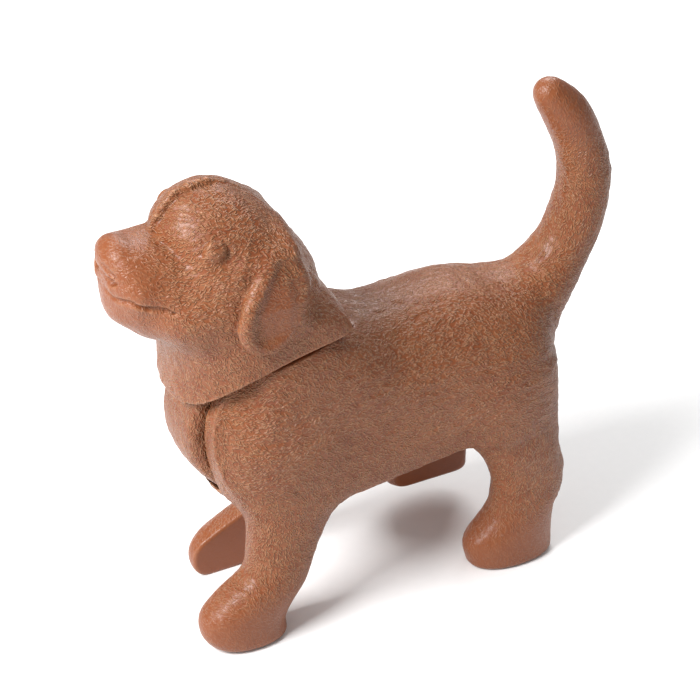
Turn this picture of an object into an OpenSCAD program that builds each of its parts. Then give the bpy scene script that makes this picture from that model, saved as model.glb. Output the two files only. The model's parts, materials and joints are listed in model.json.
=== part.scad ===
// A small moulded toy puppy that stands on three feet, with its right hind foot lifted.
// Its head and neck nod on a pin, which is held between the two halves of its body.
// The nose points to -X, the tail to +X, the puppy's left is -Y, and the ground is Z = 0.

/* [Body] */
// Width of the trunk
trunk_w = 16.6; // [16.2:0.1:17]
// Wall of the moulded shells
wall = 1.4; // [1.2:0.1:1.6]
// Space between the flat inner faces of the left and right legs
leg_space = 9; // [8.4:0.2:9.4]
// Length of step that the left front foot is ahead of the right front foot
front_stride = 4.5; // [3:0.5:5]
// Length of step that the right hind foot is ahead of the left hind foot
hind_stride = 3; // [0:0.5:3.5]
// Height that the right hind foot is lifted
hind_lift = 3; // [0:0.5:4]

/* [Head] */
// Width of the head
head_w = 16.2; // [16:0.1:16.6]
// Width of the nose end of the muzzle
muzzle_w = 9.6; // [9:0.2:10.2]
// Diameter of an eye
eye_d = 2.4; // [2:0.1:2.8]

/* [Neck joint] */
// Distance of the pivot ahead of the puppy's middle
pivot_x = 10.6; // [10.5:0.1:10.8]
// Height of the pivot above the ground
pivot_z = 25.2; // [25:0.1:25.4]
// Radius of the round foot of the neck
disc_r = 9.7; // [9.5:0.1:9.8]
// Width of the round foot of the neck
disc_w = 7; // [6.6:0.2:7.4]
// Diameter of the pin
pin_d = 3; // [2.5:0.1:3.5]
// Length of the pin
pin_l = 11.4; // [11:0.2:12]
// Gap between the neck and the body on every side
neck_gap = 0.3; // [0.25:0.05:0.35]

/* [Hidden] */

sides = 28;
thin_sides = 18;
ball_sides = 32;
fine = 96;
far = 60;
coat = "#a86a42";
pin_grey = "#b9b9b4";

pin_run = 0.05;
pin_hold = 0.01;
slot_y = disc_w / 2 + neck_gap;
cheek_r = disc_r - 1;
cheek_y = 5.6;
boss_r = 3.2;
boss_y = 7;
pocket_r = disc_r + neck_gap;
pocket_y = cheek_y + neck_gap;
slot_sill = 2.4;

// The collar's lower edge, as a line from the nape down to the throat
nape = [-4.9, 34.9];
throat = [-20.7, 29.4];
collar_tilt = atan2(nape.y - throat.y, nape.x - throat.x);

// Trunk rings: x, height of the widest level, share of half width, rise above, drop below
trunk_rings = [
    [-19.0, 24.0, 0.40, 2.6, 3.4],
    [-18.6, 24.0, 0.60, 4.4, 5.0],
    [-17.4, 23.8, 0.82, 6.8, 7.4],
    [-14.6, 23.4, 0.95, 9.2, 9.2],
    [-10.0, 23.2, 1.00, 10.6, 9.2],
    [-4.4, 23.4, 1.00, 10.0, 8.9],
    [0.0, 23.6, 0.98, 8.6, 8.7],
    [4.6, 23.8, 0.97, 8.4, 8.6],
    [9.0, 23.8, 0.99, 8.6, 8.8],
    [12.8, 23.4, 0.99, 8.0, 9.6],
    [16.2, 23.0, 0.90, 7.0, 9.8],
    [18.3, 22.6, 0.70, 5.4, 8.6],
    [19.6, 22.4, 0.40, 3.2, 5.6],
    [20.0, 22.4, 0.18, 1.6, 2.6]
];
flank_bend = 0.75;
rump_x = trunk_rings[len(trunk_rings) - 1][0];
thinnest = 0.2;
belly = [[-30, 12.6], [-6, 14.2], [8, 15.9], [30, 16.2]];

// Leg rings: height, x of the middle, half length, half width, y of the middle
front_leg_rings = [
    [0.0, -16.7, 3.2, 1.6, 6.2],
    [0.7, -16.6, 4.4, 2.4, 6.2],
    [3.0, -16.5, 5.3, 2.9, 6.1],
    [6.3, -15.1, 5.1, 3.0, 6.0],
    [8.6, -13.4, 4.3, 2.9, 5.8],
    [10.4, -12.4, 4.2, 2.9, 5.6],
    [14.0, -11.3, 5.2, 3.2, 5.2],
    [18.0, -11.2, 6.4, 3.4, 4.8],
    [23.0, -11.3, 6.8, 3.2, 4.8]
];
hind_leg_rings = [
    [0.0, 13.6, 3.2, 1.6, 6.2],
    [0.7, 13.6, 4.4, 2.4, 6.2],
    [3.0, 13.8, 5.2, 2.9, 6.1],
    [5.8, 15.0, 4.2, 2.9, 6.0],
    [7.6, 15.7, 4.1, 2.8, 5.9],
    [10.4, 15.8, 4.2, 2.8, 5.8],
    [13.2, 15.1, 4.7, 3.0, 5.6],
    [17.0, 13.7, 5.8, 3.3, 4.8],
    [23.0, 13.2, 5.8, 3.2, 4.8]
];

// Tail rings: x, height, radius
tail_rings = [
    [16.6, 26.2, 4.6],
    [19.4, 28.4, 3.9],
    [22.3, 32.2, 3.0],
    [24.0, 36.2, 2.8],
    [24.5, 40.6, 2.6],
    [23.6, 44.9, 2.4],
    [21.6, 49.2, 2.1],
    [20.3, 51.0, 1.2]
];

// Head rings from the neck up to the crown: height, front x, rear x, share of half width, bend
skull_rings = [
    [26.0, -20.0, -5.2, 0.90, 0.80],
    [29.0, -21.2, -4.9, 0.94, 0.80],
    [32.0, -21.9, -4.9, 0.96, 0.80],
    [35.0, -22.0, -5.4, 0.97, 0.82],
    [38.0, -22.1, -6.2, 0.97, 0.86],
    [41.0, -22.2, -7.1, 0.96, 0.90],
    [44.0, -22.2, -8.8, 0.92, 0.92],
    [46.5, -21.4, -11.0, 0.78, 0.95],
    [48.2, -20.2, -13.2, 0.55, 1],
    [49.0, -18.8, -15.2, 0.28, 1]
];
neck_z = skull_rings[0][0];
crown_z = skull_rings[len(skull_rings) - 1][0];

// Muzzle rings: x, height of the middle, share of half width, half height
muzzle_rings = [
    [-27.5, 43.2, 0.36, 1.7],
    [-27.0, 42.7, 0.66, 3.2],
    [-25.8, 41.9, 0.90, 4.4],
    [-23.6, 41.2, 1.02, 5.0],
    [-20.6, 41.0, 1.14, 5.4],
    [-15.0, 41.0, 1.20, 5.4]
];
// Ear rings from the tip up to the root: height, x, half length, half thickness, y
ear_rings = [
    [35.2, -14.9, 1.2, 0.6, 7.8],
    [36.4, -14.6, 2.6, 1.1, 8.0],
    [39.0, -14.0, 3.6, 1.4, 8.0],
    [41.6, -13.2, 3.4, 1.4, 7.6],
    [43.6, -12.4, 2.6, 1.1, 7.0],
    [44.8, -11.8, 1.4, 0.6, 6.4]
];
eye = [-18.4, 5.4, 45.2];
nose_r = 1.7;
nose = [-25.97, 0, 45.2];

// A point on the smooth curve through a list, at share t of the way from item i to the next
function between(list, i, t) =
    let (
        last = len(list) - 1,
        before = list[max(i - 1, 0)],
        here = list[i],
        next = list[min(i + 1, last)],
        after = list[min(i + 2, last)]
    )
    0.5 * (2 * here + (next - before) * t + (2 * before - 5 * here + 4 * next - after) * t * t
        + (3 * here - before - 3 * next + after) * t * t * t);

// The whole smooth curve through a list, with this many steps from each item to the next
function smooth(list, steps) = [
    for (i = [0 : len(list) - 2], j = [0 : steps - 1]) between(list, i, j / steps),
    list[len(list) - 1]
];

// A sine or cosine bent towards a box (below 1) or left round (1)
function squared(value, power) = sign(value) * pow(abs(value), power);

// The angles of count points, evenly spaced round a ring
function ring_angles(count) = [for (i = [0 : count - 1]) 360 * i / count];

// Joins rings of points, all of the same count, into one closed solid
module skin(rings, count) {
    rows = len(rings);
    points = [for (ring = rings, point = ring) point];
    first_cap = [for (i = [0 : count - 1]) i];
    last_cap = [for (i = [count - 1 : -1 : 0]) (rows - 1) * count + i];
    walls = [
        for (row = [0 : rows - 2], i = [0 : count - 1])
            let (next = (i + 1) % count)
            each [
                [row * count + i, (row + 1) * count + i, row * count + next],
                [row * count + next, (row + 1) * count + i, (row + 1) * count + next]
            ]
    ];
    polyhedron(points, concat([first_cap], [last_cap], walls));
}

// All the space on the puppy's left of the plane at Y = edge
module left_of(edge) {
    translate([-far / 2, edge - far, -far / 2])
        cube([far, far, 2 * far]);
}

// The trunk, with every ring drawn in by inset
module trunk(inset) {
    rings = [
        for (r = smooth(trunk_rings, 2))
            [
                for (a = ring_angles(sides))
                    [
                        r[0] * (1 - inset / rump_x),
                        max(r[2] * trunk_w / 2 - inset, thinnest) * squared(cos(a), sin(a) > 0 ? 1 : flank_bend),
                        r[1] + max((sin(a) > 0 ? r[3] : r[4]) - inset, thinnest)
                            * squared(sin(a), sin(a) > 0 ? 1 : flank_bend)
                    ]
            ]
    ];
    difference() {
        skin(rings, sides);
        rotate([90, 0, 0])
            linear_extrude(height = far, center = true)
                polygon(concat([for (p = belly) [p.x, p.y + inset]], [[far / 2, -far], [-far / 2, -far]]));
    }
}

// A leg on the puppy's right, with its inner face cut flat
module leg(leg_rings, ahead, lift) {
    rings = [
        for (r = smooth(leg_rings, 2))
            [for (a = ring_angles(thin_sides)) [r[1] + r[2] * cos(a), r[4] + r[3] * sin(a), r[0]]]
    ];
    translate([-ahead, 0, lift])
        difference() {
            skin(rings, thin_sides);
            left_of(leg_space / 2);
        }
}

// The tail, as rings square to the way that it rises
module tail() {
    middle = smooth(tail_rings, 2);
    last = len(middle) - 1;
    rings = [
        for (i = [0 : last])
            let (
                here = middle[i],
                way = middle[min(i + 1, last)] - middle[max(i - 1, 0)],
                run = norm([way.x, way.y]),
                out = [way.y, -way.x] / run
            )
            [
                for (a = ring_angles(thin_sides))
                    [here.x + out.x * here.z * cos(a), here.z * sin(a), here.y + out.y * here.z * cos(a)]
            ]
    ];
    skin(rings, thin_sides);
}

// A round bar along Y through the pivot, from one distance off the middle to another
module pivot_bar(radius, from, to) {
    translate([-pivot_x, to, pivot_z])
        rotate([90, 0, 0])
            cylinder(r = radius, h = to - from, $fn = fine);
}

// All the space above the line of the collar's lower edge, moved up by rise
module above_collar(rise) {
    translate([nape.x, 0, nape.y + rise])
        rotate([0, -collar_tilt, 0])
            translate([-far, -far / 2, 0])
                cube([far, far, far]);
}

// Where the round foot of the neck sits in the chest
module neck_slot() {
    pivot_bar(pocket_r, -slot_y, slot_y);
    translate([-pivot_x - far, -slot_y, pivot_z - pocket_r + slot_sill])
        cube([far, 2 * slot_y, far]);
}

// One half of the body, drawn on the puppy's right
module body_half(front_ahead, hind_ahead, lift) {
    difference() {
        union() {
            difference() {
                union() {
                    trunk(0);
                    leg(front_leg_rings, front_ahead, 0);
                    leg(hind_leg_rings, hind_ahead, lift);
                    tail();
                }
                trunk(wall);
                neck_slot();
                intersection() {
                    above_collar(-neck_gap);
                    translate([nape.x - far + neck_gap, -far / 2, 0])
                        cube([far, far, far]);
                }
                left_of(0);
            }
            pivot_bar(cheek_r, slot_y, cheek_y);
            pivot_bar(boss_r, cheek_y, boss_y);
        }
        pivot_bar(pin_d / 2 + pin_hold, 0, pin_l / 2 + pin_hold);
    }
}

module body_left() {
    color(coat)
        mirror([0, 1, 0])
            body_half(0, 0, 0);
}

module body_right() {
    color(coat)
        body_half(-front_stride, hind_stride, hind_lift);
}

// The head and neck, with every ring drawn in by inset
module skull(inset) {
    rings = [
        for (r = smooth(skull_rings, 2))
            [
                for (a = ring_angles(sides))
                    [
                        (r[1] + r[2]) / 2 + ((r[2] - r[1]) / 2 - inset) * squared(cos(a), r[4]),
                        (r[3] * head_w / 2 - inset) * squared(sin(a), r[4]),
                        r[0] - inset * (r[0] - neck_z) / (crown_z - neck_z)
                    ]
            ]
    ];
    skin(rings, sides);
}

module muzzle() {
    rings = [
        for (r = smooth(muzzle_rings, 2))
            [
                for (a = ring_angles(sides))
                    [r[0], r[2] * muzzle_w / 2 * cos(a), r[1] + r[3] * sin(a)]
            ]
    ];
    skin(rings, sides);
}

module ear() {
    rings = [
        for (r = smooth(ear_rings, 2))
            [for (a = ring_angles(thin_sides)) [r[1] + r[2] * cos(a), r[4] + r[3] * sin(a), r[0]]]
    ];
    skin(rings, thin_sides);
}

// The solid web in the neck that carries its round foot
module neck_web() {
    intersection() {
        skull(0);
        above_collar(0);
        translate([-far, 0, 0])
            cube([far, disc_w / 2, pivot_z + disc_r + wall]);
    }
}

// One half of the head, drawn on the puppy's right
module head_half() {
    difference() {
        union() {
            difference() {
                union() {
                    skull(0);
                    muzzle();
                    ear();
                    translate(eye)
                        sphere(d = eye_d, $fn = ball_sides);
                    translate(nose)
                        sphere(r = nose_r, $fn = ball_sides);
                }
                skull(wall);
                pivot_bar(pocket_r, disc_w / 2, pocket_y);
                difference() {
                    translate([-far, -far / 2, -far])
                        cube([2 * far, far, 2 * far]);
                    above_collar(0);
                }
            }
            neck_web();
            pivot_bar(disc_r, 0, disc_w / 2);
        }
        pivot_bar(pin_d / 2 + pin_run, -far, far);
        left_of(0);
    }
}

module head_left() {
    color(coat)
        mirror([0, 1, 0])
            head_half();
}

module head_right() {
    color(coat)
        head_half();
}

module neck_pin() {
    color(pin_grey)
        pivot_bar(pin_d / 2, -pin_l / 2, pin_l / 2);
}

body_left();
body_right();
head_left();
head_right();
neck_pin();
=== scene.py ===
"""The looks of a small moulded toy puppy whose head nods on a pin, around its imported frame.

The body and the head are sculpted as distance fields, in millimetres. Each field is meshed,
given its moulded fur, hollowed out, and parted at the middle plane into a left and a right shell.
"""

import json
import math

import bpy
import numpy as np
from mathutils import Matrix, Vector
from mathutils.geometry import delaunay_2d_cdt


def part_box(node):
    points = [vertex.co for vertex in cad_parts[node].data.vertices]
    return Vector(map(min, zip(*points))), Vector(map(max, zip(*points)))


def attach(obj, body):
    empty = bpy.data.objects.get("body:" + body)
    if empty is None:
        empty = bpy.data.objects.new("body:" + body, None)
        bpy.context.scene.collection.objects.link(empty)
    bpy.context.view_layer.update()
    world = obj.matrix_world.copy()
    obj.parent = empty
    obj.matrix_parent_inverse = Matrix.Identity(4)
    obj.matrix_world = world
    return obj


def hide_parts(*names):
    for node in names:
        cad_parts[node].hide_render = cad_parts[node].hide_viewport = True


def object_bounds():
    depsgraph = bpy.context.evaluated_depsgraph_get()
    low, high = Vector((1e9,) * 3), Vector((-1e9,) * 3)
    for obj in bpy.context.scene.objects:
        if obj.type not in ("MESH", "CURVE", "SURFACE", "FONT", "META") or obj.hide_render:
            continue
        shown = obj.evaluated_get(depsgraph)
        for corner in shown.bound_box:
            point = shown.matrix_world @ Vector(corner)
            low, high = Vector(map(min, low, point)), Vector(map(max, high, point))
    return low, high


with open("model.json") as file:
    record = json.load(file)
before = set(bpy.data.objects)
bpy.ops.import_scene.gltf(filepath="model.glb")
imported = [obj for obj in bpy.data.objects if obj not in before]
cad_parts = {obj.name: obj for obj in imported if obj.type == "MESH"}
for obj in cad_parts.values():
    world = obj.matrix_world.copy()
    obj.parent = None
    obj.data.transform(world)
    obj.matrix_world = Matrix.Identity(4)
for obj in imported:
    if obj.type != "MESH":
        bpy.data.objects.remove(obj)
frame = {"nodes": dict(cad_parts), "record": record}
cad_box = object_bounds()

# ---------------------------------------------------------------- sizes, from the frame
NOMINAL_LENGTH = 54.76
MM = (cad_box[1].x - cad_box[0].x) / NOMINAL_LENGTH
# The gaps round the neck's foot, under the collar and behind the nape
GAP = 0.3
COLLAR_GAP = 0.5
NAPE_GAP = 0.6
# The gaps round the pin, in the body's bores and in the head's
BODY_BORE_GAP = 0.01
HEAD_BORE_GAP = 0.05
WALL = 1.4

hinge = frame["record"]["behaviour"]["joints"][0]
pin_low, pin_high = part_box("neck_pin")
PIVOT = (hinge["pos_m"][0] / MM, hinge["pos_m"][2] / MM)
PIN_R = (pin_high.z - pin_low.z) / 2 / MM
PIN_Y = pin_high.y / MM

# The neck's round foot stands in the body's slot. The slot's cheeks stand in pockets of the head.
# The sill is how far above the slot's lowest point its opening in the chest starts.
FOOT_R = 9.7
FOOT_Y = 3.5
SLOT_Y = FOOT_Y + GAP
SLOT_SILL = 1.9
CHEEK_R = FOOT_R - 1
CHEEK_Y = 5.6
POCKET_R = FOOT_R + GAP
POCKET_Y = CHEEK_Y + GAP
POCKET_MARGIN = 0.15
NAPE_X = -4.7

# Grid steps of the meshes of the body, the head and the hollows
BODY_STEP = 0.2
HEAD_STEP = 0.145
HOLLOW_STEP = 0.6
# The boxes that the bodies are sculpted in, in millimetres
BODY_BOX = ((-22.5, -10.5, -1), (29, 10.5, 53))
HEAD_BOX = ((-29.5, -10.5, 13), (0, 10.5, 51.5))
FAR_AWAY = 50.0

# ---------------------------------------------------------------- forms, in millimetres
# The collar's lower edge, from the throat back to the nape: x, height
COLLAR = [
    (-23.0, 27.6), (-20.7, 28.9), (-18.0, 30.9), (-15.0, 32.4), (-11.0, 33.5), (-7.5, 34.1), (-4.7, 34.2),
]
# A height above that edge, times this, is about the distance to it
COLLAR_SLOPE = 0.94
# Trunk: x, height of the widest level, half width, rise above, drop below
TRUNK = [
    (-19.0, 24.0, 3.4, 2.6, 5.0),
    (-18.6, 24.0, 5.0, 4.4, 6.6),
    (-17.4, 23.8, 6.8, 6.8, 8.3),
    (-14.6, 23.4, 7.8, 11.6, 9.9),
    (-10.0, 23.2, 8.2, 13.6, 9.8),
    (-4.4, 23.4, 8.2, 9.6, 9.6),
    (0.0, 23.6, 8.0, 8.4, 9.4),
    (4.6, 23.8, 7.9, 8.3, 9.2),
    (9.0, 23.8, 8.0, 8.5, 8.8),
    (12.8, 23.4, 8.0, 8.1, 9.6),
    (16.2, 23.0, 7.3, 7.0, 9.8),
    (18.1, 22.6, 5.7, 5.4, 8.6),
    (19.4, 22.4, 3.3, 3.2, 5.6),
    (19.8, 22.4, 1.5, 1.6, 2.6),
]
# The flat belly: its height, how much it climbs with x, and where it has that height
BELLY_Z, BELLY_CLIMB, BELLY_X = 14.5, 0.11, -6.0
SHOULDER = ((-12.1, 4.6, 22.5), (6.6, 3.9, 7.3))
THIGH = ((12.5, 4.4, 20.6), (6.3, 3.9, 7.4))
# Legs: height, x, half length, half width, y
FRONT_LEG = [
    (0.0, -16.2, 3.6, 2.4, 6.2),
    (0.7, -16.8, 4.2, 2.7, 6.2),
    (2.2, -17.2, 4.6, 2.8, 6.1),
    (4.1, -16.6, 5.0, 2.9, 6.0),
    (6.0, -14.9, 4.7, 2.9, 5.9),
    (8.0, -13.1, 3.7, 2.8, 5.7),
    (10.4, -12.3, 3.9, 2.8, 5.5),
    (14.0, -11.3, 4.8, 3.1, 5.2),
    (18.0, -11.1, 6.2, 3.5, 4.8),
    (23.0, -11.3, 6.8, 3.2, 4.8),
]
HIND_LEG = [
    (0.0, 13.8, 4.8, 2.8, 6.3),
    (0.7, 13.7, 4.9, 2.9, 6.3),
    (3.0, 13.6, 5.0, 2.9, 6.2),
    (5.8, 15.0, 3.9, 2.8, 6.0),
    (7.6, 15.8, 4.0, 2.7, 5.9),
    (10.4, 15.8, 4.1, 2.7, 5.8),
    (13.2, 14.9, 4.4, 3.0, 5.6),
    (17.0, 13.7, 5.7, 3.3, 4.8),
    (23.0, 13.2, 5.4, 3.0, 4.8),
]
# How the right legs stand from the left ones: raised, shifted along x by pairs of height and shift,
# and tucked in towards the middle
RIGHT_FRONT_LIFT = -0.7
RIGHT_FRONT_LEAN = ((5, 3.9), (8.5, 5.8), (12, 5.6), (22, 0))
RIGHT_FRONT_TUCK = 0.7
RIGHT_HIND_LIFT = 3.5
RIGHT_HIND_LEAN = ((9, -3.4), (20, 0))
UPRIGHT = ((0, 0),)
# The four legs: side, rings, lift, lean, tuck
LEGS = (
    (-1, FRONT_LEG, 0, UPRIGHT, 0),
    (-1, HIND_LEG, 0, UPRIGHT, 0),
    (1, FRONT_LEG, RIGHT_FRONT_LIFT, RIGHT_FRONT_LEAN, RIGHT_FRONT_TUCK),
    (1, HIND_LEG, RIGHT_HIND_LIFT, RIGHT_HIND_LEAN, 0),
)
# The heights between which a leg's lift and its tuck come in, from none to the whole
LIFT_FADE = (22.0, 12.0)
TUCK_FADE = (13.0, 6.0)
# The height up to which the legs are worked out, how far their flat inner faces stand from the middle,
# and how softly the sides run into the soles
LEG_TOP = 27
LEG_INSIDE = 4.5
SOLE_ROUNDING = 0.7
# The crown of the neck's round foot: its height, the share of it that is lost at the foot's sides, and
# the angles below straight ahead where it comes in and where it fades out
CROWN = 1.35
CROWN_LOSS = 0.35
CROWN_STARTS = (-50, 30)
CROWN_ENDS = (47, 66)
LARGEST_NOD = hinge["range_deg"][1]
# Tail: x, height, radius. It is worked out only behind its start, which is inside the trunk.
TAIL_START = 11
TAIL = [
    (16.4, 26.0, 4.6),
    (19.2, 28.4, 3.8),
    (22.2, 32.2, 2.95),
    (23.9, 36.0, 2.8),
    (24.5, 40.6, 2.6),
    (23.4, 44.9, 2.35),
    (21.8, 48.1, 2.2),
    (19.9, 50.5, 1.6),
]
# Skull and neck: height, x, half width, half length ahead, half length behind
SKULL = [
    (22.0, -12.6, 7.2, 7.3, 7.3),
    (26.0, -12.6, 7.3, 8.8, 7.4),
    (29.0, -12.9, 7.6, 8.9, 7.9),
    (32.0, -13.2, 7.8, 8.5, 9.0),
    (35.0, -13.6, 7.8, 8.4, 8.9),
    (38.0, -14.1, 7.8, 7.9, 7.8),
    (41.0, -14.6, 7.7, 7.5, 7.4),
    (44.0, -15.6, 7.2, 6.4, 6.5),
    (46.5, -16.3, 5.8, 6.0, 5.4),
    (48.2, -16.7, 4.2, 4.5, 3.9),
    (49.2, -17.0, 2.8, 3.3, 2.7),
    (49.9, -17.2, 1.3, 1.9, 1.4),
]
# Muzzle: x, height of the middle, half width, rise above, drop below
MUZZLE = [
    (-27.5, 43.3, 1.7, 1.5, 1.9),
    (-27.0, 42.9, 3.0, 2.9, 3.7),
    (-25.8, 42.2, 4.1, 4.0, 5.0),
    (-23.6, 41.4, 4.8, 4.7, 5.9),
    (-20.6, 41.0, 5.5, 5.0, 5.8),
    (-15.0, 41.0, 5.8, 5.4, 5.4),
]
# Ellipsoids of the face: centre and half sizes
NOSE = ((-26.1, 0.0, 44.7), (1.75, 2.7, 1.9))
CHIN = ((-25.8, 0.0, 39.7), (1.7, 2.4, 1.9))
JOWL = ((-19.8, 4.4, 38.9), (3.6, 2.5, 3.0))
SOCKET = ((-18.3, 7.1, 46.0), (2.1, 1.5, 1.9))
EYE = ((-18.35, 5.25, 45.8), (1.25, 0.9, 1.15))
# Ridges and grooves of the head: x, y, height, radius
UPPER_LIP = [(-26.0, 1.6, 42.5, 1.3), (-24.9, 3.0, 42.2, 1.5), (-22.6, 4.0, 41.4, 1.4)]
MOUTH = [
    (-27.7, 0.0, 42.0, 0.2),
    (-27.4, 1.8, 41.6, 0.2),
    (-26.4, 3.9, 41.8, 0.22),
    (-24.9, 4.5, 41.2, 0.22),
    (-23.6, 5.1, 40.9, 0.2),
    (-22.7, 5.45, 40.6, 0.1),
]
UNDER_NOSE = [(-28.0, 0.0, 43.4, 0.25), (-27.3, 1.9, 43.2, 0.25), (-26.2, 3.1, 43.5, 0.2)]
NOSTRIL = [(-27.9, 1.0, 44.6, 0.3), (-27.2, 2.2, 44.0, 0.2)]
LID = [
    (-19.2, 4.1, 47.1, 0.1),
    (-18.5, 4.2, 47.3, 0.2),
    (-17.8, 4.4, 47.3, 0.26),
    (-17.2, 4.9, 47.0, 0.28),
    (-16.9, 5.5, 46.3, 0.28),
    (-16.8, 5.8, 45.6, 0.24),
    (-16.9, 6.1, 44.8, 0.16),
]
CREST = [
    (-22.5, 0.0, 46.6, 0.2),
    (-22.1, 0.0, 47.4, 0.3),
    (-21.3, 0.0, 48.6, 0.37),
    (-20.2, 0.0, 49.6, 0.37),
    (-18.6, 0.0, 50.15, 0.37),
    (-16.8, 0.0, 50.2, 0.35),
    (-15.2, 0.0, 49.6, 0.25),
    (-13.6, 0.0, 48.7, 0.1),
]
# The ear's outline, pressed flat, and how far out its middle lies by height
EAR = [(-12.5, 0.0, 43.8, 1.7), (-12.9, 0.0, 41.6, 2.9), (-14.0, 0.0, 39.2, 3.3), (-14.7, 0.0, 38.2, 2.7)]
EAR_OUT = ((36, 8.1), (40, 8.2), (42.5, 7.6), (44.5, 6.6), (46, 4.4))


# ---------------------------------------------------------------- field tools
def curve(points, steps):
    """A smooth curve through the points, with this many steps from each to the next."""
    points = np.array(points, float)
    last = len(points) - 1
    out = []
    for i in range(last):
        before, here = points[max(i - 1, 0)], points[i]
        after, beyond = points[i + 1], points[min(i + 2, last)]
        for t in np.arange(steps) / steps:
            out.append(0.5 * (
                2 * here + (after - before) * t
                + (2 * before - 5 * here + 4 * after - beyond) * t ** 2
                + (3 * here - before - 3 * after + beyond) * t ** 3
            ))
    out.append(points[-1])
    return np.array(out)


def ramp(value, start, end):
    """A smooth step from 0 at the start to 1 at the end. The end may be the lower one."""
    t = np.clip((value - start) / (end - start), 0, 1)
    return t * t * (3 - 2 * t)


def look_up(value, rows):
    """The value in a table of pairs, straight from each pair to the next."""
    return np.interp(value, [row[0] for row in rows], [row[1] for row in rows])


def blend(a, b, k):
    """The union of two fields, smoothed over a width k."""
    h = np.clip(0.5 + 0.5 * (b - a) / k, 0, 1)
    return b + (a - b) * h - k * h * (1 - h)


def blend_all(fields, k):
    """The union of all the fields, smoothed over a width k."""
    out = fields[0]
    for field in fields[1:]:
        out = blend(out, field, k)
    return out


def common(a, b, k):
    """What two fields have in common, smoothed over a width k."""
    return -blend(-a, -b, k)


def carve(a, b, k):
    """Field a with field b cut out of it."""
    return -blend(-a, b, k)


def ball(p, centre, radii):
    """An ellipsoid."""
    d = (p - np.array(centre)) / np.array(radii)
    k = np.linalg.norm(d, axis=1) + 1e-6
    slope = np.linalg.norm(d / np.array(radii), axis=1) / k + 1e-6
    return (k - 1) / slope


def limb(p, start, end):
    """A round bar between two points. A point is x, y, z and radius."""
    a, b = np.array(start[:3]), np.array(end[:3])
    t = np.clip((p - a) @ (b - a) / ((b - a) @ (b - a)), 0, 1)
    return np.linalg.norm(p - a - t[:, None] * (b - a), axis=1) - (start[3] + (end[3] - start[3]) * t)


def chain(p, points, k):
    """Limbs from each point to the next."""
    return blend_all([limb(p, a, b) for a, b in zip(points, points[1:])], k)


def loft(t, u, v, rings, power, low_power):
    """A form along t. Each ring is t, v of the middle, half size along u, and half sizes along +v and -v.

    The powers say how square the rings are above and below the middle: 2 is an ellipse. The distance is
    the rings' own measure divided by its slope, and past the end rings it is that of a flat end.
    """
    rows = curve(rings, 5)
    ts = rows[:, 0]
    slopes = np.gradient(rows, ts, axis=0)
    v0, ru, rise, drop = [np.interp(t, ts, rows[:, i]) for i in range(1, 5)]
    v0_by, ru_by, rise_by, drop_by = [np.interp(t, ts, slopes[:, i]) for i in range(1, 5)]
    dv = v - v0
    high = dv > 0
    rv, rv_by = np.where(high, rise, drop), np.where(high, rise_by, drop_by)
    n = np.where(high, power, low_power)
    a, b = np.abs(u) / ru, np.abs(dv) / rv
    k = (a ** n + b ** n) ** (1 / n) + 1e-6
    gu = (a / k) ** (n - 1)
    gv = (b / k) ** (n - 1)
    gt = (gv * np.sign(dv) * v0_by + gv * b * rv_by) / rv + gu * a / ru * ru_by
    gt = gt / np.maximum(k, 1) ** 2
    d = (k - 1) / np.sqrt((gu / ru) ** 2 + (gv / rv) ** 2 + gt ** 2 + 1e-6)
    past = np.maximum(np.maximum(ts[0] - t, t - ts[-1]), 0)
    return np.where(past > 0, np.hypot(np.maximum(d, 0), past), d)


def only_where(mask, p, field):
    """The field at the points of the mask, and far away elsewhere."""
    out = np.full(len(p), FAR_AWAY)
    if mask.any():
        out[mask] = field(p[mask])
    return out


def from_pivot(p):
    """The distance from the pin's axis."""
    return np.hypot(p[:, 0] - PIVOT[0], p[:, 2] - PIVOT[1])


def above_collar(p):
    """The distance above the collar's lower edge."""
    edge = curve(COLLAR, 4)
    return (p[:, 2] - np.interp(p[:, 0], edge[:, 0], edge[:, 1])) * COLLAR_SLOPE


def mirrored(p):
    """The points folded onto the half with Y above zero."""
    return np.column_stack([p[:, 0], np.abs(p[:, 1]), p[:, 2]])


# ---------------------------------------------------------------- the body
def leg(p, side, rings, lift, lean, tuck):
    """A leg with a flat sole and a flat inner face."""
    t = p[:, 2] - lift * ramp(p[:, 2], *LIFT_FADE)
    x = p[:, 0] - look_up(t, lean)
    y = p[:, 1] * side
    turned = [(height, middle, width, length, length) for height, middle, length, width, _ in rings]
    out = look_up(t, [(ring[0], ring[4]) for ring in rings])
    d = loft(t, y - out + tuck * ramp(t, *TUCK_FADE), x, turned, 2.2, 2.2)
    d = common(d, -np.minimum(t, p[:, 2]), SOLE_ROUNDING)
    return common(d, LEG_INSIDE - y, 0.2)


def crown(p, turned):
    """How far the neck's round foot swells past its radius, after turning downwards by so many degrees."""
    below = np.degrees(np.arctan2(PIVOT[1] - p[:, 2], PIVOT[0] - p[:, 0])) - turned
    share = ramp(below, CROWN_ENDS[1], CROWN_ENDS[0]) * ramp(below + turned, *CROWN_STARTS)
    return CROWN * share * np.maximum(1 - CROWN_LOSS * (p[:, 1] / FOOT_Y) ** 2, 0)


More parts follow.
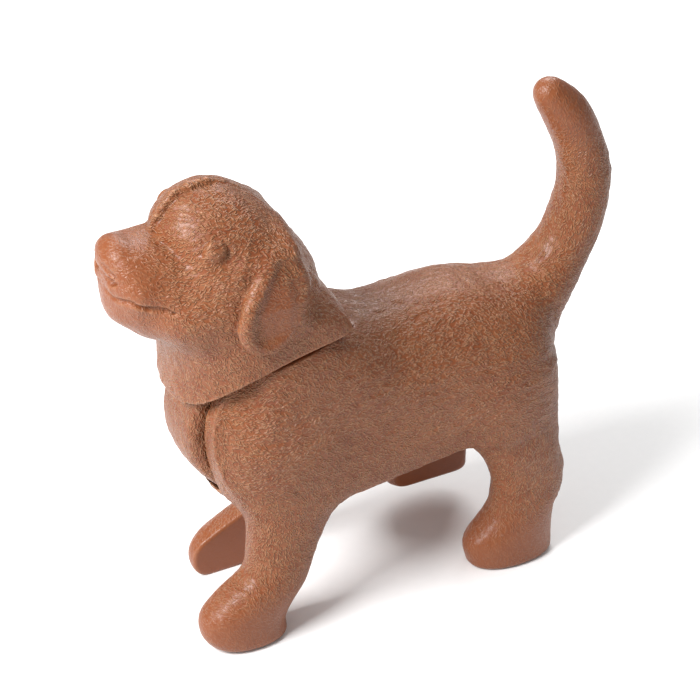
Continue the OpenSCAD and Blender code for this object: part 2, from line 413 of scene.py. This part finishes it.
def body_field(p):
    """The trunk, legs and tail, with the seat and the slot for the neck."""
    a = mirrored(p)
    x, y, z = a.T
    # Squarer above over the shoulders, and squarer below behind the chest
    upper_power = 2.2 + 1.8 * ramp(x, -16, -13) * ramp(x, 1, -6)
    lower_power = 2.6 + 3.4 * ramp(x, -17, -12)
    d = loft(x, y, z, TRUNK, upper_power, lower_power)
    d = blend_all([d, ball(a, *SHOULDER), ball(a, *THIGH)], 1.6)
    tail = [(tx, 0, tz, r) for tx, tz, r in curve(TAIL, 3)]
    d = blend(d, only_where(x > TAIL_START, a, lambda q: chain(q, tail, 0.5)), 2.6)
    d = common(d, BELLY_Z + BELLY_CLIMB * (x - BELLY_X) - z, 0.25)
    for side, rings, lift, lean, tuck in LEGS:
        near = (z < LEG_TOP) & (p[:, 1] * side > -2)
        d = blend(d, only_where(near, p, lambda q: leg(q, side, rings, lift, lean, tuck)), 1.5)
    r = from_pivot(p)
    seat = np.maximum(-above_collar(p) - COLLAR_GAP, x - NAPE_X - NAPE_GAP)
    cheek = np.maximum(r - CHEEK_R, y - CHEEK_Y)
    sill = PIVOT[1] - POCKET_R + SLOT_SILL
    mouth = np.maximum(x - PIVOT[0], sill - z)
    slot = np.maximum(y - SLOT_Y, np.minimum(r - POCKET_R - crown(p, LARGEST_NOD), mouth))
    d = carve(d, seat, 0.18)
    d = blend(d, cheek, 0.2 + 1.6 * ramp(above_collar(p), -0.8, -3.0))
    d = carve(d, slot, 0.3)
    return carve(d, np.maximum(r - PIN_R - BODY_BORE_GAP, y - PIN_Y), 0.02)


# ---------------------------------------------------------------- the head
def ear_field(a):
    """A hanging ear flap: a thick leaf with a raised rim at its front."""
    x, y, z = a.T
    flat = np.column_stack([x, np.zeros(len(a)), z])
    leaf = chain(flat, EAR, 0.6)
    middle = look_up(z, EAR_OUT) - 0.25 * np.maximum(x + 12.5, 0)
    d = common(leaf, np.abs(y - middle) - 0.5, 0.8)
    rim = np.hypot(leaf + 0.6, y - middle - 0.25) - 0.65 * ramp(x, -11.6, -14.2)
    return blend(d, rim, 0.6)


def face_field(d, a):
    """The head's form with its nose, lips, eyes and brows."""
    d = blend(d, ball(a, *NOSE), 0.4)
    d = blend(d, ball(a, *CHIN), 1.0)
    d = blend(d, chain(a, UPPER_LIP, 0.8), 0.8)
    d = carve(d, chain(a, MOUTH, 0.2), 0.4)
    d = carve(d, chain(a, UNDER_NOSE, 0.2), 0.5)
    d = carve(d, limb(a, *NOSTRIL), 0.3)
    d = carve(d, ball(a, *SOCKET), 0.8)
    d = blend(d, ball(a, *EYE), 0.15)
    return blend(d, chain(a, LID, 0.2), 0.3)


def head_field(p):
    """The head and neck, with the pockets beside the neck's round foot."""
    a = mirrored(p)
    x, y, z = a.T
    # Squarer behind towards the nape's edge, and more pointed in front at the forehead
    rear_power = 2.4 + 3.6 * ramp(z, 38.5, 34.5)
    front_power = 2.4 - 0.5 * ramp(z, 43.0, 46.5)
    rings = [(height, middle, width, behind, ahead) for height, middle, width, ahead, behind in SKULL]
    d = common(loft(z, y, x, rings, rear_power, front_power), x - NAPE_X, 0.2)
    d = blend(d, loft(x, y, z, MUZZLE, 2.4, 2.3), 1.6 - 1.1 * ramp(z, 42.5, 45.0))
    d = blend(d, ball(a, *JOWL), 2.0)
    d = face_field(d, a)
    d = blend(d, chain(a, CREST, 0.2), 0.4)
    softness = 0.35 + 1.5 * ramp(x, -13.0, -10.0) + 1.2 * ramp(z, 43.0, 45.0)
    d = blend(d, ear_field(a), softness)
    r = from_pivot(p)
    pocket = np.maximum(np.maximum(FOOT_Y - y, y - POCKET_Y), r - POCKET_R + POCKET_MARGIN)
    d = common(d, -above_collar(p), 0.12)
    d = carve(d, pocket, 0.15)
    foot = common(r - FOOT_R - crown(p, 0), y - FOOT_Y, 1.0)
    d = blend(d, foot, 0.3)
    return carve(d, r - PIN_R - HEAD_BORE_GAP, 0.02)


# ---------------------------------------------------------------- from a field to a mesh
CORNERS = np.array([(i, j, k) for i in (0, 1) for j in (0, 1) for k in (0, 1)])
BLOCK = 4
CHUNK = 300000


def sample(field, low, high, step):
    """The field on a grid, worked out only in the blocks near its surface. Y = 0 is midway between nodes."""
    low = np.array(low, float)
    low[1] = -(round(-low[1] / step) + 0.5) * step
    blocks = np.ceil((np.array(high) - low) / (step * BLOCK)).astype(int) + 1
    index = np.stack(np.meshgrid(*[np.arange(n) for n in blocks], indexing="ij"), -1).reshape(-1, 3)
    centre = low + (index + 0.5) * step * BLOCK
    d = np.concatenate([field(part) for part in np.array_split(centre, len(centre) // CHUNK + 1)])
    values = np.where(d < 0, -FAR_AWAY, FAR_AWAY).reshape(blocks).astype(np.float32)
    for axis in range(3):
        values = np.repeat(values, BLOCK, axis=axis)
    values = np.pad(values, ((0, 1), (0, 1), (0, 1)), mode="edge")
    near = np.abs(d).reshape(blocks) < step * BLOCK * 1.5
    for axis in range(3):
        turns = np.diff(d.reshape(blocks) < 0, axis=axis)
        near |= np.pad(turns, [(1, 0) if i == axis else (0, 0) for i in range(3)])
        near |= np.pad(turns, [(0, 1) if i == axis else (0, 0) for i in range(3)])
    near = index[near.ravel()]
    offsets = np.stack(np.meshgrid(*[np.arange(BLOCK + 1)] * 3, indexing="ij"), -1).reshape(-1, 3)
    for part in np.array_split(near, len(near) * len(offsets) // CHUNK + 1):
        nodes = (part[:, None, :] * BLOCK + offsets[None]).reshape(-1, 3)
        values[tuple(nodes.T)] = field(low + nodes * step)
    return values, low


def surface_nets(values, low, step):
    """Points, quads and the cell of each point, for the surface where the values are zero."""
    inside = values < 0
    count = sum(inside[tuple(slice(c, c - 1 or None) for c in corner)].astype(np.int8) for corner in CORNERS)
    active = (count > 0) & (count < len(CORNERS))
    cells = np.argwhere(active)
    number = np.full(active.shape, -1, np.int32)
    number[active] = np.arange(len(cells))
    total, crossings = np.zeros((len(cells), 3)), np.zeros(len(cells))
    for corner in CORNERS:
        for axis in np.flatnonzero(corner == 0):
            other = corner.copy()
            other[axis] = 1
            a, b = values[tuple((cells + corner).T)], values[tuple((cells + other).T)]
            crossed = (a < 0) != (b < 0)
            t = np.clip(a / np.where(crossed, a - b, 1), 0, 1)
            at = cells + corner + t[:, None] * (other - corner)
            total[crossed] += at[crossed]
            crossings[crossed] += 1
    points = low + total / crossings[:, None] * step
    quads = []
    for axis in range(3):
        u, v = [(1, 2), (2, 0), (0, 1)][axis]
        size = inside.shape[axis]
        a = np.take(inside, range(size - 1), axis)
        b = np.take(inside, range(1, size), axis)
        edges = np.argwhere(a != b)
        edges = edges[(edges[:, u] > 0) & (edges[:, v] > 0)]
        edges = edges[(edges[:, u] < number.shape[u]) & (edges[:, v] < number.shape[v])]
        corners = []
        for du, dv in ((1, 1), (0, 1), (0, 0), (1, 0)):
            cell = edges.copy()
            cell[:, u] -= du
            cell[:, v] -= dv
            corners.append(number[tuple(cell.T)])
        quad = np.stack(corners, 1)
        outward = a[tuple(edges.T)]
        quad[~outward] = quad[~outward][:, ::-1]
        quads.append(quad)
    quads = np.concatenate(quads)
    return points, quads[(quads >= 0).all(1)], cells


def slope_of(field, p, h=0.02):
    """The field's slope along x, y and z."""
    out = np.zeros_like(p)
    for axis in range(3):
        step = np.zeros(3)
        step[axis] = h
        out[:, axis] = (field(p + step) - field(p - step)) / (2 * h)
    return out


def settle(field, points, row, step, times=2):
    """Moves the points onto the surface. Those of the middle row stay at Y = 0, the others on their side."""
    middle = row == 0
    points[middle, 1] = 0
    for _ in range(times):
        slope = slope_of(field, points)
        slope[middle, 1] = 0
        move = -(field(points) / ((slope ** 2).sum(1) + 1e-3))[:, None] * slope
        length = np.linalg.norm(move, axis=1, keepdims=True) + 1e-9
        points = points + move * np.minimum(1, step / length)
        points[:, 1] = np.sign(row) * np.maximum(np.sign(row) * points[:, 1], 0.1 * step)
    return points


def mesh_field(field, low, high, step):
    """Points, quads, and how many grid rows each point lies to one side of the middle plane."""
    values, low = sample(field, low, high, step)
    points, quads, cells = surface_nets(values, low, step)
    row = cells[:, 1] - round(-low[1] / step - 0.5)
    return settle(field, points, row, step), quads, row


def normals_of(points, quads):
    """The direction that the surface faces at each point."""
    across = np.cross(points[quads[:, 2]] - points[quads[:, 0]], points[quads[:, 3]] - points[quads[:, 1]])
    out = np.zeros_like(points)
    for i in range(4):
        for axis in range(3):
            out[:, axis] += np.bincount(quads[:, i], across[:, axis], len(points))
    return out / (np.linalg.norm(out, axis=1, keepdims=True) + 1e-12)


def smoothed(values, quads, times):
    """Values averaged with their neighbours'."""
    weight = np.zeros(len(values))
    for i in range(4):
        weight += 2 * np.bincount(quads[:, i], minlength=len(values))
    for _ in range(times):
        total = np.zeros(len(values))
        for i in range(4):
            for j in ((i + 1) % 4, (i + 3) % 4):
                total += np.bincount(quads[:, i], values[quads[:, j]], len(values))
        values = 0.5 * values + 0.5 * total / np.maximum(weight, 1)
    return values


def bend_of(points, normals, quads):
    """How sharply the surface turns at each point: above zero on ridges, below zero in creases."""
    total = np.zeros(len(points))
    weight = np.zeros(len(points))
    for i in range(4):
        a, b = quads[:, i], quads[:, (i + 1) % 4]
        step = points[b] - points[a]
        turn = ((normals[b] - normals[a]) * step).sum(1) / ((step ** 2).sum(1) + 1e-6)
        total += np.bincount(a, turn, len(points)) + np.bincount(b, turn, len(points))
        weight += np.bincount(a, minlength=len(points)) + np.bincount(b, minlength=len(points))
    return smoothed(total / np.maximum(weight, 1), quads, 3)


# ---------------------------------------------------------------- fur
TUFT_LENGTH = 1.2
TUFT_WIDTH = 0.42
TUFT_HEIGHT = 0.13
SWIRL_SIZE = 5.0
# Where the fur thins out: x along the muzzle, and heights on the paws and up the tail
MUZZLE_FUR = (-25.8, -21.0)
PAW_FUR = (3.0, 9.0)
TAIL_FUR = (48.5, 41.0)
# Heights of the bare parts: the top of the legs' inner faces, and the belly's lowest and highest
INNER_LEG_TOP = 15
BELLY_LOW, BELLY_HIGH = 14, 18


def value_noise(p, seed):
    """Smooth noise from -1 to 1 with a period of about one unit."""
    base = np.floor(p).astype(np.int64)
    f = p - base
    f = f * f * (3 - 2 * f)
    out = np.zeros(len(p))
    for corner in CORNERS:
        c = base + corner
        # A number from 0 to 65535 that depends only on the corner and the seed
        h = (c[:, 0] * 374761393 + c[:, 1] * 668265263 + c[:, 2] * 2147483647 + seed * 144269) & 0x7FFFFFFF
        h = (h ^ (h >> 13)) * 1274126177 & 0x7FFFFFFF
        h = (h ^ (h >> 16)) & 0xFFFF
        weight = np.prod(np.where(corner, f, 1 - f), axis=1)
        out += weight * (h / 0x7FFF - 1)
    return out


def flow_of(p, normals, on_head):
    """The way that the fur lies, along the surface, with gentle swirls."""
    x, _, z = p.T
    if on_head:
        # Back over the head, and down the neck
        way = np.column_stack([np.full(len(p), 0.8), np.zeros(len(p)), -ramp(z, 46, 34) - 0.1])
    else:
        # Back along the trunk, down the legs and up the tail
        low = ramp(z, 22, 13)
        tail = ramp(z, 30, 35) * (x > 10)
        way = np.column_stack([1 - 0.75 * low - 0.9 * tail, np.zeros(len(p)), -0.25 - 0.8 * low + 1.4 * tail])
    swirl = np.column_stack([value_noise(p / SWIRL_SIZE, 11 + i) for i in range(3)])
    way = way + 0.9 * swirl
    way = way - (way * normals).sum(1, keepdims=True) * normals
    return way / (np.linalg.norm(way, axis=1, keepdims=True) + 1e-9)


def fur_of(p, normals, on_head):
    """How much fur there is at each point, from 0 to 1."""
    x, y, z = p.T
    ay = np.abs(y)
    r = from_pivot(p)
    if on_head:
        # Less on the muzzle and on the ears' flat faces
        fur = 0.35 + 0.65 * ramp(x, *MUZZLE_FUR)
        on_ear_leaf = ramp(ay, 7.6, 8.2) * ramp(np.hypot((x + 13.6) / 2.6, (z - 39.2) / 4.0), 1.0, 0.6)
        fur = fur - 0.6 * on_ear_leaf
        # None on the underside along the collar, save on the round foot's rim, and none in the pockets
        inner = (above_collar(p) < 0.15) & ~((r > FOOT_R - 2.8) & (ay < FOOT_Y + 0.2))
        in_pocket = (ay > FOOT_Y - 0.3) & (ay < POCKET_Y + 0.2) & (r < POCKET_R + 0.2)
        in_pocket &= above_collar(p) > -0.2
        return np.where(inner | in_pocket, 0, fur)
    # Less on the paws and at the tail's tip
    own_z = np.where((y > 0) & (x > 0), z - RIGHT_HIND_LIFT, z)
    fur = (0.25 + 0.75 * ramp(own_z, *PAW_FUR)) * (0.3 + 0.7 * ramp(z, *TAIL_FUR))
    # None in the slot, on the legs' inner faces, on the belly or on the seat
    inner = (ay < SLOT_Y + 0.05) & (r < POCKET_R + 0.4)
    inner |= (ay < LEG_INSIDE + 0.15) & (z < INNER_LEG_TOP)
    inner |= (normals[:, 2] < -0.9) & (z > BELLY_LOW) & (z < BELLY_HIGH)
    inner |= (above_collar(p) > -COLLAR_GAP - 0.1) & (x < NAPE_X + NAPE_GAP + 0.1)
    return np.where(inner, 0, fur)


def tufts(p, flow):
    """The height of moulded tufts: noise drawn out along the fur's flow."""
    steps = np.linspace(-TUFT_LENGTH / 2, TUFT_LENGTH / 2, 7)
    total = sum(value_noise((p + flow * along) / TUFT_WIDTH, 5) for along in steps)
    return TUFT_HEIGHT * total / len(steps)


# ---------------------------------------------------------------- shells
# How close two points of a rim may be before they count as one
CAP_TOLERANCE = 1e-6


def rim_of(quads):
    """The edges that belong to one quad only."""
    edges = np.sort(np.concatenate([quads[:, [i, (i + 1) % 4]] for i in range(4)]), axis=1)
    edges, times = np.unique(edges, axis=0, return_counts=True)
    return edges[times == 1]


def inside_rim(spots, starts, ends):
    """Which of the flat spots lie inside the outline that the edges make up."""
    (x, z), (ax, az), (bx, bz) = spots.T[:, :, None], starts.T, ends.T
    level = (az > z) != (bz > z)
    across = ax + (z - az) * (bx - ax) / np.where(bz == az, 1, bz - az)
    return (level & (across > x)).sum(1) % 2 == 1


def cap_of(points, rim, side):
    """Triangles that close the rim of one half, at the middle plane."""
    used, ends = np.unique(rim, return_inverse=True)
    ends = ends.reshape(-1, 2)
    flat = points[used][:, [0, 2]]
    made = delaunay_2d_cdt([Vector(spot) for spot in flat], ends.tolist(), [], 0, CAP_TOLERANCE)
    origins = np.array([origin[0] if origin else -1 for origin in made[3]])
    faces = np.array(made[2])
    faces = faces[(origins[faces] >= 0).all(1)]
    spots = np.array(made[0])[faces].mean(1)
    faces = faces[inside_rim(spots, flat[ends[:, 0]], flat[ends[:, 1]])]
    return used[origins[faces]][:, ::side]


def shell(name, points, quads, normals, facts, body, side):
    """One half as an object: its surface, its hollow, and the flat cap between them at the middle plane."""
    caps = cap_of(points, rim_of(quads), side)
    used, corners = np.unique(quads, return_inverse=True)
    number = np.zeros(len(points), int)
    number[used] = np.arange(len(used))
    mesh = bpy.data.meshes.new(name)
    mesh.from_pydata(points[used] * MM, [], corners.reshape(-1, 4).tolist() + number[caps].tolist())
    loop_normals = np.concatenate([normals[quads.ravel()], np.tile((0.0, -side, 0.0), (caps.size, 1))])
    mesh.polygons.foreach_set("use_smooth", np.ones(len(mesh.polygons), bool))
    mesh.normals_split_custom_set(loop_normals.astype(np.float32))
    for key, values in facts.items():
        kept = values[used].astype(np.float32)
        is_number = kept.ndim == 1
        layer = mesh.attributes.new(key, "FLOAT" if is_number else "FLOAT_VECTOR", "POINT")
        layer.data.foreach_set("value" if is_number else "vector", kept.ravel())
    piece = bpy.data.objects.new(name, mesh)
    bpy.context.collection.objects.link(piece)
    mesh.materials.append(coat)
    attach(piece, body)
    return piece


def sculpt(body, field, low, high, step):
    """Both halves of a body, from its field, within a box from low to high."""
    on_head = body == "head"
    points, quads, row = mesh_field(field, low, high, step)
    normals = normals_of(points, quads)
    flow = flow_of(points, normals, on_head)
    fur = smoothed(fur_of(points, normals, on_head), quads, 4)
    points = points + normals * (fur * tufts(points, flow))[:, None]
    points[row == 0, 1] = 0
    normals = normals_of(points, quads)
    hollow, hollow_quads, hollow_row = mesh_field(lambda p: field(p) + WALL, low, high, HOLLOW_STEP)
    hollow_normals = -normals_of(hollow, hollow_quads)
    none = np.zeros(len(hollow))
    facts = {
        "fur": np.concatenate([fur, none]),
        "bend": np.concatenate([bend_of(points, normals, quads), none]),
        "flow": np.concatenate([flow, np.tile((1.0, 0, 0), (len(hollow), 1))]),
        "side": np.concatenate([np.cross(normals, flow), np.tile((0, 0, 1.0), (len(hollow), 1))]),
    }
    quads = np.concatenate([quads, hollow_quads[:, ::-1] + len(points)])
    points = np.concatenate([points, hollow])
    normals = np.concatenate([normals, hollow_normals])
    row = np.concatenate([row, hollow_row])[quads].sum(1)
    for side, word in ((-1, "left"), (1, "right")):
        half = quads[row * side > 0]
        piece = shell(f"{body}_{word}_shell", points, half, normals, facts, body, side)
        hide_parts(f"{body}_{word}")


# ---------------------------------------------------------------- materials
# The fine strokes of the fur, in millimetres. The spacing grows from layer to layer.
STROKE_LAYERS = 5
STROKE_SPACING = 0.52
SPACING_GROWTH = 0.07
STROKE_HALF_LENGTH = 0.34
STROKE_HALF_WIDTH = 0.10
# How far each layer is shifted from the one before, in metres
LAYER_SHIFT = (0.013, 0.007, 0.003)
# Colours of the coat, among them painted highlights for the strokes and ridges and painted shade for the
# creases
DARK_SKIN = (0.160, 0.037, 0.009, 1)
LIGHT_SKIN = (0.205, 0.056, 0.016, 1)
BLOTCH = (0.27, 0.105, 0.042, 1)
SMOOTH_SKIN = (0.215, 0.060, 0.019, 1)
# Painted highlight: the pale colour that the raised fur strokes are lightened towards, as if they caught the
# light
PAINTED_STROKE_HIGHLIGHT = (0.48, 0.26, 0.135, 1)
# Painted highlight: the pale colour that the surface's ridges are lightened towards
RIDGE_PAINTED_HIGHLIGHT = (0.52, 0.28, 0.16, 1)
# Painted shade: the dark colour that the creases are darkened towards
CREASE_PAINTED_SHADE = (0.12, 0.040, 0.018, 1)


class Nodes:
    """A material's node tree, with short calls to add to it."""

    def __init__(self, name):
        self.material = bpy.data.materials.new(name)
        self.material.use_nodes = True
        self.tree = self.material.node_tree
        self.shader = self.tree.nodes["Principled BSDF"]

    def put(self, socket, value):
        """Links the value to the socket, or sets it there when it is a plain one."""
        if isinstance(value, bpy.types.NodeSocket):
            self.tree.links.new(value, socket)
        else:
            socket.default_value = value

    def add(self, kind, inputs=(), **settings):
        """A new node with these inputs and settings."""
        node = self.tree.nodes.new(kind)
        for key, value in settings.items():
            setattr(node, key, value)
        for key, value in dict(inputs).items():
            self.put(node.inputs[key], value)
        return node

    def math(self, operation, *values):
        """The result of the operation on these numbers."""
        node = self.add("ShaderNodeMath", enumerate(values), operation=operation)
        return node.outputs[0]

    def vector(self, operation, *values):
        """The result of the operation on these vectors."""
        node = self.add("ShaderNodeVectorMath", enumerate(values), operation=operation)
        return node.outputs["Value" if operation == "DOT_PRODUCT" else "Vector"]

    def attribute(self, name, output="Fac"):
        """What the mesh holds under this name at each point."""
        return self.add("ShaderNodeAttribute", attribute_name=name).outputs[output]

    def fit(self, value, low, high, to_low=0.0, to_high=1.0):
        """The value moved from one range to another, and kept inside it."""
        node = self.add("ShaderNodeMapRange", {0: value, 1: low, 2: high, 3: to_low, 4: to_high})
        return node.outputs[0]

    def mix(self, share, a, b):
        """Colour a, giving way to colour b by the share."""
        node = self.add("ShaderNodeMix", {0: share, 6: a, 7: b}, data_type="RGBA")
        return node.outputs[2]

    def noise(self, place, frequency, detail):
        """Noise with so many waves to the millimetre."""
        inputs = {"Vector": place, "Scale": frequency / MM, "Detail": detail}
        return self.add("ShaderNodeTexNoise", inputs).outputs[0]


def strokes(nodes, place, shift, spacing):
    """Soft, slightly curved strokes, one to a cell, that lie roughly along the fur's flow."""
    moved = nodes.vector("ADD", place, shift)
    cells = nodes.add("ShaderNodeTexVoronoi", {"Vector": moved, "Scale": 1 / (spacing * MM)})
    chance = nodes.add("ShaderNodeSeparateColor", {0: cells.outputs["Color"]})
    away = nodes.vector("SUBTRACT", moved, cells.outputs["Position"])
    u = nodes.vector("DOT_PRODUCT", away, nodes.attribute("flow", "Vector"))
    v = nodes.vector("DOT_PRODUCT", away, nodes.attribute("side", "Vector"))
    turn = nodes.fit(chance.outputs[0], 0, 1, -0.8, 0.8)
    cos, sin = nodes.math("COSINE", turn), nodes.math("SINE", turn)
    along = nodes.math("ADD", nodes.math("MULTIPLY", u, cos), nodes.math("MULTIPLY", v, sin))
    across = nodes.math("SUBTRACT", nodes.math("MULTIPLY", v, cos), nodes.math("MULTIPLY", u, sin))
    reach = nodes.fit(chance.outputs[1], 0, 1, 0.6 * STROKE_HALF_LENGTH * MM, STROKE_HALF_LENGTH * MM)
    along = nodes.math("DIVIDE", along, reach)
    across = nodes.math("DIVIDE", across, STROKE_HALF_WIDTH * MM)
    curl = nodes.fit(chance.outputs[2], 0, 1, -1.0, 1.0)
    across = nodes.math("MULTIPLY_ADD", nodes.math("MULTIPLY", along, along), curl, across)
    spread = nodes.math("ADD", nodes.math("MULTIPLY", along, along), nodes.math("MULTIPLY", across, across))
    profile = nodes.math("POWER", nodes.fit(spread, 1.0, 0.0), 1.5)
    return nodes.math("MULTIPLY", profile, nodes.fit(chance.outputs[1], 0, 1, 0.35, 1.0))


def coat_material():
    """Caramel plastic with fine moulded fur, smoother and redder where it ends, with painted highlight on
    strokes and ridges, painted shade in creases.
    """
    nodes = Nodes("coat_plastic")
    place = nodes.add("ShaderNodeTexCoord").outputs["Object"]
    fur = nodes.attribute("fur")
    bend = nodes.attribute("bend")
    height = 0.0
    for i in range(STROKE_LAYERS):
        shift = tuple(part * i for part in LAYER_SHIFT)
        spacing = STROKE_SPACING + SPACING_GROWTH * i
        height = nodes.math("MAXIMUM", height, strokes(nodes, place, shift, spacing))
    height = nodes.math("MULTIPLY", height, fur)
    broad = nodes.noise(place, 0.16, 4.0)
    blotch = nodes.noise(place, 0.9, 3.0)
    grain = nodes.noise(place, 5.0, 2.0)
    skin = nodes.mix(nodes.fit(broad, 0.35, 0.65), DARK_SKIN, LIGHT_SKIN)
    skin = nodes.mix(nodes.fit(blotch, 0.35, 0.70, 0.0, 0.5), skin, BLOTCH)
    skin = nodes.mix(fur, SMOOTH_SKIN, skin)
    # Painted highlight on the raised fur strokes
    skin = nodes.mix(nodes.math("MULTIPLY", height, 0.52), skin, PAINTED_STROKE_HIGHLIGHT)
    # Painted highlight along the ridges, where the surface bends outwards
    skin = nodes.mix(nodes.fit(bend, 0.5, 3.0, 0.0, 0.35), skin, RIDGE_PAINTED_HIGHLIGHT)
    # Painted shade in the creases, where the surface bends inwards
    skin = nodes.mix(nodes.fit(bend, -0.4, -2.5, 0.0, 0.5), skin, CREASE_PAINTED_SHADE)
    rough = nodes.math("ADD", nodes.fit(fur, 0, 1, 0.34, 0.44), nodes.fit(grain, 0.3, 0.7, -0.05, 0.06))
    relief = nodes.math("MULTIPLY_ADD", grain, 0.15, height)
    bump = nodes.add("ShaderNodeBump", {"Height": relief, "Distance": 0.15 * MM, "Strength": 1.0})
    nodes.put(nodes.shader.inputs["Base Color"], skin)
    nodes.put(nodes.shader.inputs["Roughness"], rough)
    nodes.put(nodes.shader.inputs["Normal"], bump.outputs[0])
    nodes.shader.inputs["IOR"].default_value = 1.5
    nodes.shader.inputs["Specular IOR Level"].default_value = 0.35
    nodes.shader.inputs["Coat Weight"].default_value = 0.1
    nodes.shader.inputs["Coat Roughness"].default_value = 0.25
    return nodes.material


def pin_material():
    """Pale plastic rod with fine turning marks and light wear."""
    nodes = Nodes("pin_plastic")
    place = nodes.add("ShaderNodeTexCoord").outputs["Object"]
    stretched = nodes.vector("MULTIPLY", place, (0.2, 6.0, 0.2))
    marks = nodes.noise(stretched, 1.0, 3.0)
    wear = nodes.noise(place, 0.8, 4.0)
    tone = nodes.mix(nodes.fit(wear, 0.4, 0.7), (0.50, 0.50, 0.47, 1), (0.40, 0.39, 0.36, 1))
    bump = nodes.add("ShaderNodeBump", {"Height": marks, "Distance": 0.02 * MM, "Strength": 0.6})
    nodes.put(nodes.shader.inputs["Base Color"], tone)
    nodes.put(nodes.shader.inputs["Roughness"], nodes.fit(wear, 0.3, 0.7, 0.35, 0.55))
    nodes.put(nodes.shader.inputs["Normal"], bump.outputs[0])
    return nodes.material


# ---------------------------------------------------------------- the scene around it
# The camera: its direction in degrees, and the rest in millimetres
CAMERA_AZIMUTH = -27
CAMERA_ELEVATION = 34
CAMERA_DISTANCE = 240
VIEW_WIDTH = 70
LOOK_AT = Vector((-1.73, 0.38, 26.56))
LIGHT_DISTANCE = 260
FLOOR_HALF = 40 * CAMERA_DISTANCE


def away_from(azimuth, elevation):
    """The unit vector from the object towards a camera or a light, from angles in degrees."""
    turn, rise = math.radians(azimuth), math.radians(elevation)
    return Vector((math.sin(turn) * math.cos(rise), -math.cos(turn) * math.cos(rise), math.sin(rise)))


def put_facing(thing, azimuth, elevation, distance):
    """Places a camera or a light so that it faces the object."""
    bpy.context.collection.objects.link(thing)
    towards = away_from(azimuth, elevation)
    thing.location = (LOOK_AT + towards * distance) * MM
    thing.rotation_mode = "QUATERNION"
    thing.rotation_quaternion = (-towards).to_track_quat("-Z", "Y")


def add_camera():
    """A long-lens camera that faces the object."""
    camera = bpy.data.objects.new("camera", bpy.data.cameras.new("camera"))
    put_facing(camera, CAMERA_AZIMUTH, CAMERA_ELEVATION, CAMERA_DISTANCE)
    camera.data.lens = camera.data.sensor_width * CAMERA_DISTANCE / VIEW_WIDTH
    camera.data.clip_start = 0.01 * CAMERA_DISTANCE * MM
    camera.data.clip_end = 100 * CAMERA_DISTANCE * MM
    bpy.context.scene.camera = camera


def add_light(name, azimuth, elevation, size, power):
    """A soft square light that faces the object."""
    lamp = bpy.data.lights.new(name, "AREA")
    lamp.size = size * MM
    lamp.energy = power
    put_facing(bpy.data.objects.new(name, lamp), azimuth, elevation, LIGHT_DISTANCE)


def add_floor():
    """A plain pale floor at height zero, far past the edges of the view."""
    mesh = bpy.data.meshes.new("floor")
    half = FLOOR_HALF * MM
    corners = [(-half, -half, 0), (half, -half, 0), (half, half, 0), (-half, half, 0)]
    mesh.from_pydata(corners, [], [(0, 1, 2, 3)])
    floor = bpy.data.objects.new("floor", mesh)
    bpy.context.collection.objects.link(floor)
    nodes = Nodes("floor_paper")
    place = nodes.add("ShaderNodeTexCoord").outputs["Object"]
    grain = nodes.noise(place, 1.0, 2.0)
    tone = nodes.mix(grain, (0.90, 0.90, 0.90, 1), (0.93, 0.93, 0.93, 1))
    nodes.put(nodes.shader.inputs["Base Color"], tone)
    nodes.shader.inputs["Roughness"].default_value = 0.9
    nodes.shader.inputs["Specular IOR Level"].default_value = 0.1
    mesh.materials.append(nodes.material)


def add_world():
    """An even white light from all round."""
    world = bpy.data.worlds.new("studio")
    world.use_nodes = True
    world.node_tree.nodes["Background"].inputs[0].default_value = (1, 1, 1, 1)
    world.node_tree.nodes["Background"].inputs[1].default_value = 0.42
    bpy.context.scene.world = world


add_camera()
add_world()
add_floor()
add_light("key", azimuth=-78, elevation=42, size=110, power=1.16)
add_light("back", azimuth=150, elevation=44, size=160, power=0.50)
bpy.context.scene.view_settings.view_transform = "Standard"

coat = coat_material()
sculpt("body", body_field, *BODY_BOX, BODY_STEP)
sculpt("head", head_field, *HEAD_BOX, HEAD_STEP)
pin = frame["nodes"]["neck_pin"]
pin.data.materials.clear()
pin.data.materials.append(pin_material())
